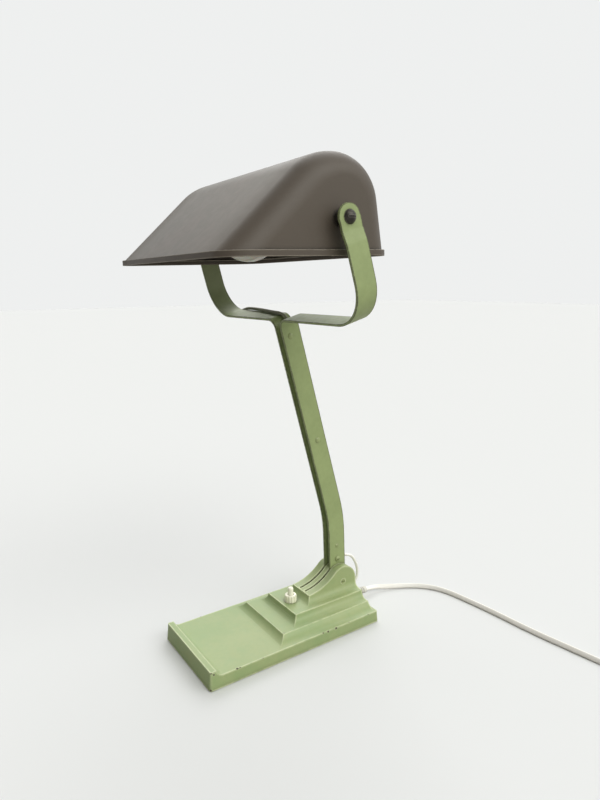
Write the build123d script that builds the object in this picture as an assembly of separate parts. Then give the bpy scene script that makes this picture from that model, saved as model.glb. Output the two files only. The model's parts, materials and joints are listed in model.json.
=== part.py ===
from build123d import *
import math
import os

# Desk lamp: a stepped cast-iron base with a pen tray and a push switch, a pivoted arm of two
# flat steel strips whose tops splay out into a U-shaped yoke, and a tilting half-barrel shade.
# Millimetres. +X is the side of the plug lead's coil, -Y the pen tray's front, +Z up.
# The origin is the centre of the base's footprint, on the surface that the lamp stands on.

# ---- driving dimensions -------------------------------------------------------------------
BASE_WIDTH = 98.0
BASE_LENGTH = 194.0
BASE_DRAFT_DEG = 5.0
BASE_CORNER_R = 2.6
FOOT_GAP = 0.8              # the casting's rim clears the table by this; the felt touches it
TRAY_Z = 12.3               # top of the slab, which is the pen tray's floor
LIP_Z = 17.8                # top of the bar along the tray's front
LIP_FOOT_Y = -83.0
LIP_COVE_R = 6.7
STEP1_FOOT = (46.9, -23.8)  # half width and front of the first step's foot
STEP1_Z = 18.7
STEP1_COVE_R = 12.65
STEP2_FOOT = (33.9, 0.2)
STEP2_Z = 26.8
STEP2_COVE_R = 8.1
STEP_BACK_Y = 93.5
WALL = 4.0                  # wall of the casting
CAVITY_Z = 21.5             # ceiling of the hollow under the second step

CHEEK_HALF_WIDTH = 14.8
CHEEK_FRONT_Y = 32.4
CHEEK_FRONT_Z = 34.3
CHEEK_FOOT = (22.3, 24.9)   # half width and front of the pivot block's coved foot
CHEEK_COVE_R = 7.5
ARM_PIVOT = (77.0, 37.0)    # y, z of the bolt that the arm swings on
CHEEK_R = 16.5
SLOT_INNER_X = 3.1
SLOT_OUTER_X = 5.7
SLOT_FLOOR_R = 11.6
PIVOT_BOLT_R = 2.5
PIVOT_NUT_W = 10.0          # across flats
PIVOT_NUT_T = 5.0

PLATE_Z = 1.6
PLATE_T = 1.2
PLATE_SCREWS = [(x, y) for x in (-36, 36) for y in (-82, 82)]
CORD_EXIT_Z = 7.4
LEAD_EXIT_Z = 18.4
CLAMP_Y = 74.0
CLAMP_Z = 10.2
CLAMP_SCREWS_X = (-9.0, 9.0)
TERMINAL_Y = 50.0
TERMINAL_SCREWS_X = (-4.5, 4.5)
TERMINAL_WIRE_Z = 13.5

SWITCH_Y = 19.5
COLLAR_D = 12.4
COLLAR_H = 7.0
COLLAR_SCALLOPS = 12
SCALLOP_R = 0.9
SWITCH_NECK_R = 5.0
SWITCH_BODY_LOW = 6.0
PLUNGER_D = 5.8
PLUNGER_TOP = 41.5
SPRING_LOW = 12.0
SPRING_TURNS = 5
SPRING_WIRE = 0.5
SPRING_R = 2.2

STRIP_WIDTH = 20.0
STRIP_THICK = 2.0
STRIP_X = 4.4               # middle of a strip's thickness, in the straight part of the arm
ARM_BEND_U = -219.2         # where the arm's two runs would meet, along the upper one from the yoke
ARM_BEND_R = 150.0
ARM_LEAN_DEG = 15.5         # lean of the arm's upper run towards the front
YOKE_CENTRE = (16.0, 317.1) # y, z of the middle of the yoke's flat part
YOKE_X = 125.5
YOKE_CORNER_R = 31.5
YOKE_FLARE_R = 9.0
JOGGLE_U = (62.0, 72.0)     # the yoke's joggle, measured up the yoke from its flat part
YOKE_TOP_X = 121.2
SHADE_PIVOT_U = 80.9
LEAD_ACROSS = 6.2           # the lead's place between the strips, towards the back
RIVETS = [(19.0, 299.5, 2.0), (50.4, 194.0, 2.0), (75.6, 74.5, 1.5)]    # y, z, radius
ARM_FOOT_SCREW = (76.2, 59.5, 2.0)

SHADE_PIVOT = (-6.0, 395.0)
SHADE_TILT_DEG = 1.5        # the shade's front edge hangs a little low
SHADE_WALL_X = 111.0
SHADE_END_R = 20.0
SHADE_THICK = 1.0
SHADE_CREST_Y = 7.2         # the crest is this far behind the pivot
SHADE_TOP = 50.2
SHADE_FRONT_R = 57.5
SHADE_FRONT_SLOPE_DEG = 42.2
SHADE_BACK_R = 39.5
SHADE_BACK_LEAN_DEG = 8.4
SHADE_LEDGE_Z = -22.5
SHADE_LEDGE_IN = 4.0        # the rim's flange reaches this far inside the wall's outer face
SHADE_RIM_Z = -27.2
SHADE_RIM_OUT = 2.2
SHADE_SCREW_R = 2.5
BRACKET_RIVET = (0.0, 13.0)
BRACKET_T = 1.5
BRACKET_TOP = 23.0
BRACKET_REACH = 12.5        # from the shade's end wall to the face that carries the lampholder
GROMMET = (14.0, 4.0)
GROMMET_R = 3.0

LAMP_AXIS = (-8.0, 2.5)     # y, z of the bulb's axis from the shade's pivot
BULB_R = 30.0
BULB_CENTRE_X = -12.0
BULB_NECK_R = 12.4
BULB_WALL = 0.8
HOLDER_R = 17.5
HOLDER_BORE_R = 14.5
NIPPLE_R = 5.0

CORD_D = 5.4
LEAD_D = 3.0
COIL_CENTRE = (268.0, 262.0)
COIL_LAYERS = 2
COIL_TURNS = 4              # turns in each layer
COIL_OUTER_R = 36.5         # middle of the outermost turn
COIL_PITCH = 5.6            # between turns, both across and up
COIL_ENTRY_DEG = -80.0
COIL_EXIT_DEG = 10.0
COIL_TO_TAIL = 17.0         # straight stretch from the last turn to the tail's first point
RELIEF_END_Y = 121.0
PLUG_PIN_SPACING = 19.0
PLUG_PIN_R = 2.0

CLEAR = 0.3                 # between bodies that move
RUNNING = 0.05              # radial, where a hole turns on a bolt
FAR = 200.0                 # past every face, for holes cut right through

os.makedirs("parts", exist_ok=True)


# ---- helpers ------------------------------------------------------------------------------
def save(shape, name):
    export_step(shape, f"parts/{name}.step")


def block(x, y, z):
    """A box from its low and high limits along each axis."""
    size = (x[1] - x[0], y[1] - y[0], z[1] - z[0])
    middle = ((x[0] + x[1]) / 2, (y[0] + y[1]) / 2, (z[0] + z[1]) / 2)
    return Pos(*middle) * Box(*size)


def rod_x(r, x0, x1, y, z):
    return Pos((x0 + x1) / 2, y, z) * Rot(0, 90, 0) * Cylinder(r, x1 - x0)


def rod_y(r, x, y0, y1, z):
    return Pos(x, (y0 + y1) / 2, z) * Rot(90, 0, 0) * Cylinder(r, y1 - y0)


def rod_z(r, x, y, z0, z1):
    return Pos(x, y, (z0 + z1) / 2) * Cylinder(r, z1 - z0)


def hexagon_x(across_flats, x0, x1, y, z):
    plane = Plane(origin=(x0, y, z), x_dir=(0, 1, 0), z_dir=(1, 0, 0))
    return extrude(plane * RegularPolygon(across_flats / 2, 6, major_radius=False), x1 - x0)


def dome_x(head_r, head_h, x_face, side, y, z):
    """A domed head along X, standing on x_face and pointing to the given side."""
    dome_r = (head_r ** 2 + head_h ** 2) / (2 * head_h)
    centre_x = x_face + side * (head_h - dome_r)
    half_angle = math.asin(head_r / dome_r) / 2
    edge = (x_face, head_r)
    middle = (centre_x + side * dome_r * math.cos(half_angle), dome_r * math.sin(half_angle))
    tip = (x_face + side * head_h, 0)
    outline = ThreePointArc(edge, middle, tip) + Polyline(tip, (x_face, 0), edge)
    return Pos(0, y, z) * revolve(make_face(outline), Axis.X, 360)


def domed_screw_x(head_r, head_h, shank_r, x_face, x_tip, y, z, slot):
    """A slotted round-head screw along X, its head outside x_face and its tip at x_tip."""
    side = 1 if x_face > x_tip else -1
    head = dome_x(head_r, head_h, x_face, side, y, z)
    slot_span = sorted((x_face + side * (head_h - slot), x_face + side * (head_h + 1)))
    head -= block(slot_span, (y - head_r, y + head_r), (z - slot / 2, z + slot / 2))
    return head + rod_x(shank_r, *sorted((x_face, x_tip)), y, z)


def route_radii(points):
    """Each corner's arc: 0.45 of the shorter run beside it over the tangent of half the turn."""
    vectors = [Vector(*point) for point in points]
    radii = []
    for before, here, after in zip(vectors, vectors[1:], vectors[2:]):
        turn = math.radians((here - before).get_angle(after - here))
        shorter = min((here - before).length, (after - here).length)
        radii.append(0.45 * shorter / math.tan(turn / 2))
    return radii


def tube(points, diameter, name):
    """A round tube of straight runs joined by tangent arcs."""
    radii = route_radii(points)
    path = FilletPolyline(*points, radius=radii)
    start = Plane(origin=path @ 0, z_dir=path % 0)
    solid = sweep(start * Circle(diameter / 2), path=path)
    expected = math.pi * diameter ** 2 / 4 * path.length
    print(name, "radii", [round(r, 1) for r in radii], "length", round(path.length, 1),
          "volume ratio", round(solid.volume / expected, 4))
    return solid, path.length


# ---- base casting -------------------------------------------------------------------------
def coved_step(foot, z0, z1, cove_r):
    """A step whose front and sides are concave; its back is flat."""
    half, front = foot
    step = block((-half, half), (front, STEP_BACK_Y), (z0 - 1, z1))
    step -= rod_x(cove_r, -FAR, FAR, front, z0 + cove_r)
    for side in (-half, half):
        step -= rod_y(cove_r, side, -FAR, FAR, z0 + cove_r)
    return step


def cheek_outline():
    """Side view of the pivot block: a cove at the front rising to a round top."""
    py, pz = ARM_PIVOT
    start = (CHEEK_FRONT_Y, CHEEK_FRONT_Z)
    crest_angle = math.radians(130)
    crest = (py + CHEEK_R * math.cos(crest_angle), pz + CHEEK_R * math.sin(crest_angle))
    top = (py, pz + CHEEK_R)
    back = (py + CHEEK_R, pz)
    cove = ThreePointArc(start, (52.0, 39.4), crest)
    crown = ThreePointArc(crest, top, back)
    foot = Polyline(back, (STEP_BACK_Y, STEP2_Z - 1), (CHEEK_FRONT_Y, STEP2_Z - 1), start)
    return Plane.YZ * make_face(cove + crown + foot)


def slot_outline():
    """Side view of one slot: it opens forwards and backwards over a round floor."""
    py, pz = ARM_PIVOT
    floor_front = (py - SLOT_FLOOR_R, pz)
    floor_low = (py, pz - SLOT_FLOOR_R)
    floor_back = (py + SLOT_FLOOR_R, pz)
    arc = ThreePointArc(floor_front, floor_low, floor_back)
    rest = Polyline(floor_back, (120, pz), (120, 80), (CHEEK_FRONT_Y + 2, 80),
                    (CHEEK_FRONT_Y + 2, 32.0), floor_front)
    return Plane.YZ * make_face(arc + rest)


def base_casting():
    rim = Pos(0, 0, FOOT_GAP) * RectangleRounded(BASE_WIDTH, BASE_LENGTH, BASE_CORNER_R)
    outer = extrude(rim, amount=LIP_Z - FOOT_GAP, taper=BASE_DRAFT_DEG)
    slab = outer & block((-FAR, FAR), (-FAR, FAR), (0, TRAY_Z))
    lip = outer & block((-FAR, FAR), (-FAR, LIP_FOOT_Y), (0, LIP_Z))
    lip -= rod_x(LIP_COVE_R, -FAR, FAR, LIP_FOOT_Y, TRAY_Z + LIP_COVE_R)
    body = slab + lip
    body += coved_step(STEP1_FOOT, TRAY_Z, STEP1_Z, STEP1_COVE_R)
    body += coved_step(STEP2_FOOT, STEP1_Z, STEP2_Z, STEP2_COVE_R)
    body += coved_step(CHEEK_FOOT, STEP2_Z, CHEEK_FRONT_Z, CHEEK_COVE_R)
    body += extrude(cheek_outline(), CHEEK_HALF_WIDTH, both=True)
    for side in (-1, 1):
        span = sorted((side * SLOT_INNER_X, side * SLOT_OUTER_X))
        body -= Pos(span[0], 0, 0) * extrude(slot_outline(), span[1] - span[0])
    body -= block((-41, 41), (-89, 89), (0, TRAY_Z - WALL))
    body -= block((-31, 31), (-8, 89), (0, STEP1_Z - WALL))
    body -= block((-21, 21), (8, 89), (0, CAVITY_Z))
    for x, y in PLATE_SCREWS:
        body += rod_z(5, x, y, PLATE_Z + PLATE_T, TRAY_Z - 1)
        body -= rod_z(1.5, x, y, 0, TRAY_Z - 2)
    for x in CLAMP_SCREWS_X:
        body += rod_z(3.5, x, CLAMP_Y, CLAMP_Z, CAVITY_Z + 1)
        body -= rod_z(1.25, x, CLAMP_Y, 0, CAVITY_Z - 2)
    body -= rod_z(SWITCH_NECK_R + 0.1, 0, SWITCH_Y, 0, FAR)
    body -= rod_z(COLLAR_D / 2 + 0.2, 0, SWITCH_Y, STEP2_Z, FAR)
    body -= rod_x(PIVOT_BOLT_R + RUNNING, -FAR, FAR, *ARM_PIVOT)
    body -= rod_x(PIVOT_NUT_W * 0.62, -FAR, -CHEEK_HALF_WIDTH, *ARM_PIVOT)
    body -= rod_y(4.0, 0, 80, FAR, CORD_EXIT_Z)
    body -= rod_y(3.0, 0, 80, FAR, LEAD_EXIT_Z)
    return body


save(base_casting(), "base_casting")


# ---- underside ----------------------------------------------------------------------------
plate = block((-44.5, 44.5), (-92.5, 92.5), (PLATE_Z, PLATE_Z + PLATE_T))
plate &= block((-40.8, 40.8), (-88.8, 88.8), (0, 10))
for x, y in PLATE_SCREWS:
    plate -= rod_z(1.7, x, y, 0, 10)
save(plate, "base_plate")

felt = block((-40.5, 40.5), (-88.5, 88.5), (0, PLATE_Z))
for x, y in PLATE_SCREWS:
    felt -= rod_z(4.2, x, y, -1, 10)
save(felt, "base_felt")

plate_screws = Part()
for x, y in PLATE_SCREWS:
    plate_screws += rod_z(3.2, x, y, 0.5, PLATE_Z)
    plate_screws += rod_z(1.5, x, y, 0.5, 9.5)
save(plate_screws, "base_plate_screws")


# ---- push switch --------------------------------------------------------------------------
plunger_r = PLUNGER_D / 2
collar_top = STEP2_Z + COLLAR_H
neck_top = collar_top - 0.6

switch_body = rod_z(9.0, 0, SWITCH_Y, SWITCH_BODY_LOW, CAVITY_Z)
switch_body += rod_z(SWITCH_NECK_R, 0, SWITCH_Y, CAVITY_Z - 1, neck_top)
switch_body -= rod_z(plunger_r + 0.35, 0, SWITCH_Y, SPRING_LOW, FAR)
save(switch_body, "switch_body")

collar = rod_z(COLLAR_D / 2, 0, SWITCH_Y, STEP2_Z, collar_top)
collar = fillet(collar.edges().group_by(Axis.Z)[-1], 1.2)
collar -= rod_z(SWITCH_NECK_R, 0, SWITCH_Y, 0, neck_top)
collar -= rod_z(plunger_r + 0.5, 0, SWITCH_Y, 0, FAR)
for k in range(COLLAR_SCALLOPS):
    angle = math.tau * k / COLLAR_SCALLOPS
    x = COLLAR_D / 2 * math.cos(angle)
    y = SWITCH_Y + COLLAR_D / 2 * math.sin(angle)
    collar -= rod_z(SCALLOP_R, x, y, 0, FAR)
save(collar, "switch_collar")

plunger_low = SPRING_LOW + 7.0
plunger = rod_z(plunger_r, 0, SWITCH_Y, plunger_low, PLUNGER_TOP)
plunger = fillet(plunger.edges().group_by(Axis.Z)[-1], 1.6)
save(plunger, "switch_plunger")

spring_height = plunger_low - SPRING_LOW - SPRING_WIRE
helix = Pos(0, SWITCH_Y, SPRING_LOW + SPRING_WIRE / 2) * Helix(
    spring_height / SPRING_TURNS, spring_height, SPRING_R)
spring = sweep(Plane(origin=helix @ 0, z_dir=helix % 0) * Circle(SPRING_WIRE / 2), path=helix)
save(spring, "switch_spring")

contacts = Part()
for side in (-1, 1):
    contacts += block(sorted((side * 4.0, side * 6.4)), (SWITCH_Y - 2.5, SWITCH_Y + 2.5),
                      (SWITCH_BODY_LOW - 2.2, SWITCH_BODY_LOW))
save(contacts, "switch_contacts")


# ---- wiring inside the base ---------------------------------------------------------------
terminal_block = block((-9, 9), (TERMINAL_Y - 6, TERMINAL_Y + 6), (9.5, CAVITY_Z))
terminal_screws = Part()
for x in TERMINAL_SCREWS_X:
    wire_way = rod_y(2.0, x, 0, 100, TERMINAL_WIRE_Z)
    terminal_block -= wire_way + rod_z(1.8, x, TERMINAL_Y, 0, 12)
    terminal_screws += rod_z(1.8, x, TERMINAL_Y, 8.7, 11.4)
save(terminal_block, "terminal_block")
save(terminal_screws, "terminal_screws")

switch_wires = Part()
for side in (-1, 1):
    wire_points = [(side * 5.2, SWITCH_Y + 1.0, 4.4), (side * 6.4, SWITCH_Y + 9.0, 4.4),
                   (side * 6.2, SWITCH_Y + 17.0, 8.0),
                   (side * 4.5, SWITCH_Y + 24.4, TERMINAL_WIRE_Z)]
    wire, _ = tube(wire_points, 1.2, "switch_wire")
    switch_wires += wire
save(switch_wires, "switch_wires")

clamp = block((-13, 13), (CLAMP_Y - 4, CLAMP_Y + 4), (CLAMP_Z - 2.0, CLAMP_Z))
clamp -= rod_y(CORD_D / 2, 0, 0, 100, CORD_EXIT_Z)
clamp_screws = Part()
for x in CLAMP_SCREWS_X:
    clamp -= rod_z(1.6, x, CLAMP_Y, 0, 30)
    clamp_screws += rod_z(2.6, x, CLAMP_Y, CLAMP_Z - 4.0, CLAMP_Z - 2.0)
    clamp_screws += rod_z(1.25, x, CLAMP_Y, CLAMP_Z - 4.0, CLAMP_Z + 5.0)
save(clamp, "cord_clamp")
save(clamp_screws, "cord_clamp_screws")


# ---- arm pivot bolt -----------------------------------------------------------------------
py, pz = ARM_PIVOT
nut_outer_x = -CHEEK_HALF_WIDTH - PIVOT_NUT_T
bolt_end_x = CHEEK_HALF_WIDTH + 0.6
bolt = rod_x(PIVOT_BOLT_R, nut_outer_x - 1.0, bolt_end_x, py, pz)
bolt = fillet(bolt.edges().group_by(Axis.X)[-1], 0.5)
bolt -= block((bolt_end_x - 1.0, bolt_end_x + 1), (py - 3, py + 3), (pz - 0.4, pz + 0.4))
save(bolt, "arm_pivot_bolt")
nut = hexagon_x(PIVOT_NUT_W, nut_outer_x, -CHEEK_HALF_WIDTH, py, pz)
nut -= rod_x(PIVOT_BOLT_R, -FAR, 0, py, pz)
save(nut, "arm_pivot_nut")


# ---- arm strips with their yoke branches --------------------------------------------------
lean = math.radians(ARM_LEAN_DEG)
UP = Vector(0, -math.sin(lean), math.cos(lean))      # along the arm's upper run
ACROSS = Vector(0, math.cos(lean), math.sin(lean))   # across a strip's width, to the back
YOKE_O = Vector(0, *YOKE_CENTRE)


def on_yoke(x, across, up):
    """A point given in the yoke's own directions, from the middle of its flat part."""
    point = YOKE_O + Vector(x, 0, 0) + ACROSS * across + UP * up
    return (point.X, point.Y, point.Z)


def strip(side):
    x = side * STRIP_X
    splay_start = on_yoke(x, 0, -20)
    foot = (x, *ARM_PIVOT)
    bend = on_yoke(x, 0, ARM_BEND_U)
    lower_path = FilletPolyline(foot, bend, splay_start, radius=ARM_BEND_R)
    lower_plane = Plane(origin=foot, x_dir=(1, 0, 0), z_dir=lower_path % 0)
    lower = sweep(lower_plane * Rectangle(STRIP_THICK, STRIP_WIDTH), path=lower_path)
    eye = rod_x(STRIP_WIDTH / 2, x - STRIP_THICK / 2, x + STRIP_THICK / 2, *ARM_PIVOT)
    low_u, high_u = JOGGLE_U
    end_u = SHADE_PIVOT_U
    corners = [splay_start, on_yoke(x, 0, 0), on_yoke(side * YOKE_X, 0, 0),
               on_yoke(side * (YOKE_X - 1.9), 0, low_u), on_yoke(side * YOKE_TOP_X, 0, high_u),
               on_yoke(side * YOKE_TOP_X, 0, end_u)]
    upper_path = FilletPolyline(*corners, radius=[YOKE_FLARE_R, YOKE_CORNER_R, 12, 12])
    upper_plane = Plane(origin=splay_start, x_dir=(1, 0, 0), z_dir=tuple(UP))
    upper = sweep(upper_plane * Rectangle(STRIP_THICK, STRIP_WIDTH), path=upper_path)
    top_x = side * YOKE_TOP_X
    top = rod_x(STRIP_WIDTH / 2, top_x - STRIP_THICK / 2, top_x + STRIP_THICK / 2, *SHADE_PIVOT)
    blank = lower + eye + upper + top
    blank -= rod_x(PIVOT_BOLT_R + RUNNING, -20, 20, *ARM_PIVOT)
    blank -= rod_x(SHADE_SCREW_R + RUNNING, -FAR, FAR, *SHADE_PIVOT)
    for y, z, r in [*RIVETS, ARM_FOOT_SCREW]:
        blank -= rod_x(r, -20, 20, y, z)
    return blank


save(strip(-1), "arm_strip_left")
save(strip(1), "arm_strip_right")

GAP_X = STRIP_X - STRIP_THICK / 2
FACE_X = STRIP_X + STRIP_THICK / 2
arm_rivets = Part()
arm_spacers = Part()
for y, z, r in [*RIVETS, ARM_FOOT_SCREW]:
    arm_spacers += rod_x(r + 1.4, -GAP_X, GAP_X, y, z) - rod_x(r, -GAP_X, GAP_X, y, z)
for y, z, r in RIVETS:
    arm_rivets += rod_x(r, -FACE_X, FACE_X, y, z)
    for side in (-1, 1):
        arm_rivets += dome_x(1.5 * r, 0.7 * r, side * FACE_X, side, y, z)
save(arm_rivets, "arm_rivets")
save(arm_spacers, "arm_spacers")

y, z, r = ARM_FOOT_SCREW
foot_screw = domed_screw_x(3.2, 2.2, r, FACE_X, -FACE_X - 4.2, y, z, 0.9)
save(foot_screw, "arm_foot_screw")
foot_nut = hexagon_x(6.4, -FACE_X - 3.2, -FACE_X, y, z) - rod_x(r, -20, 0, y, z)
save(foot_nut, "arm_foot_nut")


# ---- lead up the arm ----------------------------------------------------------------------
arm_lead_points = [
    (0, ARM_PIVOT[0] + 5.0, 76.0),
    (0, ARM_PIVOT[0] + 4.2, 98.0),
    on_yoke(0, LEAD_ACROSS, -195),
    on_yoke(0, LEAD_ACROSS + 0.3, -150),
    on_yoke(0, LEAD_ACROSS, -105),
    on_yoke(0, LEAD_ACROSS - 0.6, -60),
    on_yoke(0, LEAD_ACROSS - 1.6, -28),
    on_yoke(0.4, 3.8, -9.0),
    on_yoke(-3.6, 3.2, 0.6),
    on_yoke(-13.0, 3.0, 2.9),
    on_yoke(-24.0, 4.2, 2.7),
    on_yoke(-40.0, 6.7, 2.8),
    on_yoke(-60.0, 9.4, 2.8),
    on_yoke(-76.0, 10.4, 2.9),
    on_yoke(-90.0, 12.2, 2.0),
    on_yoke(-104.0, 12.8, -1.4),
    on_yoke(-118.0, 12.0, -1.0),
    on_yoke(-131.0, 9.0, 9.0),
    on_yoke(-132.0, 4.5, 25.0),
    on_yoke(-130.2, 3.0, 40.0),
    on_yoke(-128.9, 4.0, 53.0),
]
arm_lead, _ = tube(arm_lead_points, LEAD_D, "arm_lead")
save(arm_lead, "arm_lead")

foot_lead_points = [
    (0, 95.2, LEAD_EXIT_Z),
    (0, 104.0, 19.4),
    (0, 109.2, 28.0),
    (0, 108.6, 39.0),
    (0, 104.0, 49.0),
    (0, 98.0, 56.0),
    (0, 91.4, 57.6),
]
foot_lead, _ = tube(foot_lead_points, LEAD_D, "foot_lead")
save(foot_lead, "foot_lead")

lead_bush = rod_y(3.0, 0, 88.5, STEP_BACK_Y, LEAD_EXIT_Z)
lead_bush += rod_y(4.0, 0, STEP_BACK_Y, 95.2, LEAD_EXIT_Z)
save(lead_bush, "lead_bush")


# ---- shade --------------------------------------------------------------------------------
SHADE = Pos(0, *SHADE_PIVOT) * Rot(SHADE_TILT_DEG, 0, 0)


def hood_outline(inset):
    """Side view of the shade about its pivot: a straight front slope, a round top and a back."""
    slope = math.radians(SHADE_FRONT_SLOPE_DEG)
    back_lean = math.radians(SHADE_BACK_LEAN_DEG)
    front_r = SHADE_FRONT_R - inset
    back_r = SHADE_BACK_R - inset
    front_o = (SHADE_CREST_Y, SHADE_TOP - SHADE_FRONT_R)
    back_o = (SHADE_CREST_Y, SHADE_TOP - SHADE_BACK_R)
    crest = (SHADE_CREST_Y, SHADE_TOP - inset)

    def around(centre, radius, angle):
        return (centre[0] + radius * math.cos(angle), centre[1] + radius * math.sin(angle))

    front_end = around(front_o, front_r, math.pi / 2 + slope)
    front_mid = around(front_o, front_r, math.pi / 2 + slope / 2)
    back_end = around(back_o, back_r, back_lean)
    back_mid = around(back_o, back_r, math.pi / 4 + back_lean / 2)
    drop = front_end[1] - SHADE_LEDGE_Z
    front_rim = (front_end[0] - drop / math.tan(slope), SHADE_LEDGE_Z)
    drop = back_end[1] - SHADE_LEDGE_Z
    back_rim = (back_end[0] + drop * math.tan(back_lean), SHADE_LEDGE_Z)
    lines = Polyline(front_end, front_rim, back_rim, back_end)
    arcs = ThreePointArc(back_end, back_mid, crest) + ThreePointArc(crest, front_mid, front_end)
    return make_face(lines + arcs), front_rim[0], back_rim[0]


def hood(inset):
    face, _, _ = hood_outline(inset)
    solid = extrude(Plane.YZ * face, SHADE_WALL_X - inset, both=True)
    ends = solid.edges().filter_by(lambda e: abs(abs(e.center().X) - (SHADE_WALL_X - inset)) < 0.01)
    rounded = ends.filter_by(lambda e: e.center().Z > SHADE_LEDGE_Z + 1)
    return fillet(rounded, SHADE_END_R - inset)


_, FRONT_RIM_Y, BACK_RIM_Y = hood_outline(0)


def rim_slice(grow, z0, z1):
    """A rounded rectangle as large as the hood's mouth, grown by the given amount."""
    size = (2 * (SHADE_WALL_X + grow), BACK_RIM_Y - FRONT_RIM_Y + 2 * grow)
    outline = RectangleRounded(*size, SHADE_END_R + grow)
    return Pos(0, (FRONT_RIM_Y + BACK_RIM_Y) / 2, z0) * extrude(outline, z1 - z0)


shell = hood(0) - hood(SHADE_THICK)
ledge_low = SHADE_LEDGE_Z - SHADE_THICK
shell += (rim_slice(SHADE_RIM_OUT, ledge_low, SHADE_LEDGE_Z)
          - rim_slice(-SHADE_LEDGE_IN, ledge_low, SHADE_LEDGE_Z))
shell += (rim_slice(SHADE_RIM_OUT, SHADE_RIM_Z, ledge_low)
          - rim_slice(SHADE_RIM_OUT - SHADE_THICK, SHADE_RIM_Z, ledge_low))
shell -= rod_x(SHADE_SCREW_R, -FAR, FAR, 0, 0)
shell -= rod_x(1.5, -FAR, 0, *BRACKET_RIVET)
shell -= rod_x(GROMMET_R, -FAR, 0, *GROMMET)
save(SHADE * shell, "shade_shell")

strip_inner_x = YOKE_TOP_X - STRIP_THICK / 2
strip_outer_x = YOKE_TOP_X + STRIP_THICK / 2
wall_inner_x = SHADE_WALL_X - SHADE_THICK
shade_screws = Part()
shade_spacers = Part()
shade_nuts = Part()
for side in (-1, 1):
    face_x = side * (strip_outer_x + CLEAR)
    inside = wall_inner_x - (BRACKET_T if side < 0 else 0)
    shade_screws += domed_screw_x(5.5, 3.6, SHADE_SCREW_R, face_x, side * (inside - 5.5), 0, 0, 1.2)
    span = sorted((side * SHADE_WALL_X, side * (strip_inner_x - CLEAR)))
    shade_spacers += rod_x(6.0, *span, 0, 0) - rod_x(SHADE_SCREW_R, *span, 0, 0)
    span = sorted((side * inside, side * (inside - 4.0)))
    shade_nuts += hexagon_x(8.0, *span, 0, 0) - rod_x(SHADE_SCREW_R, *span, 0, 0)
save(SHADE * shade_screws, "shade_screws")
save(SHADE * shade_spacers, "shade_spacers")
save(SHADE * shade_nuts, "shade_nuts")


# ---- lampholder and bulb, inside the far end of the shade ---------------------------------
lamp_y, lamp_z = LAMP_AXIS
wall_x = -wall_inner_x
leg_x = wall_x + BRACKET_REACH
plate_end_x = wall_x + BRACKET_T
bracket = block((wall_x, plate_end_x), (-13, 9), (-10, BRACKET_TOP))
bracket += block((wall_x, leg_x), (-13, 9), (BRACKET_TOP - BRACKET_T, BRACKET_TOP))
bracket += block((leg_x - BRACKET_T, leg_x), (-17, 1), (-9, BRACKET_TOP))
bracket -= rod_x(SHADE_SCREW_R, -FAR, plate_end_x, 0, 0)
bracket -= rod_x(1.5, -FAR, plate_end_x, *BRACKET_RIVET)
bracket -= rod_x(NIPPLE_R, leg_x - 2, 0, lamp_y, lamp_z)
save(SHADE * bracket, "holder_bracket")

rivet_span = (-SHADE_WALL_X, plate_end_x)
bracket_rivet = rod_x(1.5, *rivet_span, *BRACKET_RIVET)
bracket_rivet += rod_x(2.6, rivet_span[0] - 1.0, rivet_span[0], *BRACKET_RIVET)
bracket_rivet += rod_x(2.6, rivet_span[1], rivet_span[1] + 1.0, *BRACKET_RIVET)
save(SHADE * bracket_rivet, "bracket_rivet")

nipple = rod_x(NIPPLE_R, leg_x - BRACKET_T - 2.5, leg_x + 4, lamp_y, lamp_z)
nipple -= rod_x(3.0, -FAR, 0, lamp_y, lamp_z)
save(SHADE * nipple, "holder_nipple")
nipple_nut = hexagon_x(12.5, leg_x - BRACKET_T - 2.2, leg_x - BRACKET_T, lamp_y, lamp_z)
nipple_nut -= rod_x(NIPPLE_R, -FAR, 0, lamp_y, lamp_z)
save(SHADE * nipple_nut, "holder_nipple_nut")

holder_cap = rod_x(HOLDER_R, leg_x, leg_x + 13, lamp_y, lamp_z)
holder_cap = fillet(holder_cap.edges().group_by(Axis.X)[0], 4.0)
holder_cap -= rod_x(NIPPLE_R, leg_x - 1, leg_x + 4, lamp_y, lamp_z)
holder_cap -= rod_x(HOLDER_BORE_R, leg_x + 4, leg_x + 14, lamp_y, lamp_z)
save(SHADE * holder_cap, "lampholder_cap")

insert = rod_x(HOLDER_BORE_R, leg_x + 5, leg_x + 8.2, lamp_y, lamp_z)
save(SHADE * insert, "lampholder_insert")

skirt = rod_x(HOLDER_R, leg_x + 13, leg_x + 38, lamp_y, lamp_z)
skirt = fillet(skirt.edges().group_by(Axis.X)[-1], 2.0)
skirt -= rod_x(HOLDER_BORE_R, leg_x, leg_x + 60, lamp_y, lamp_z)
save(SHADE * skirt, "lampholder_skirt")

cap_low = leg_x + 8.2
bulb_cap = rod_x(13.0, cap_low + 2, cap_low + 27, lamp_y, lamp_z)
bulb_cap -= rod_x(12.4, cap_low + 2.6, cap_low + 30, lamp_y, lamp_z)
bulb_cap += rod_x(5.0, cap_low, cap_low + 2, lamp_y, lamp_z)
save(SHADE * bulb_cap, "bulb_cap")


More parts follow.
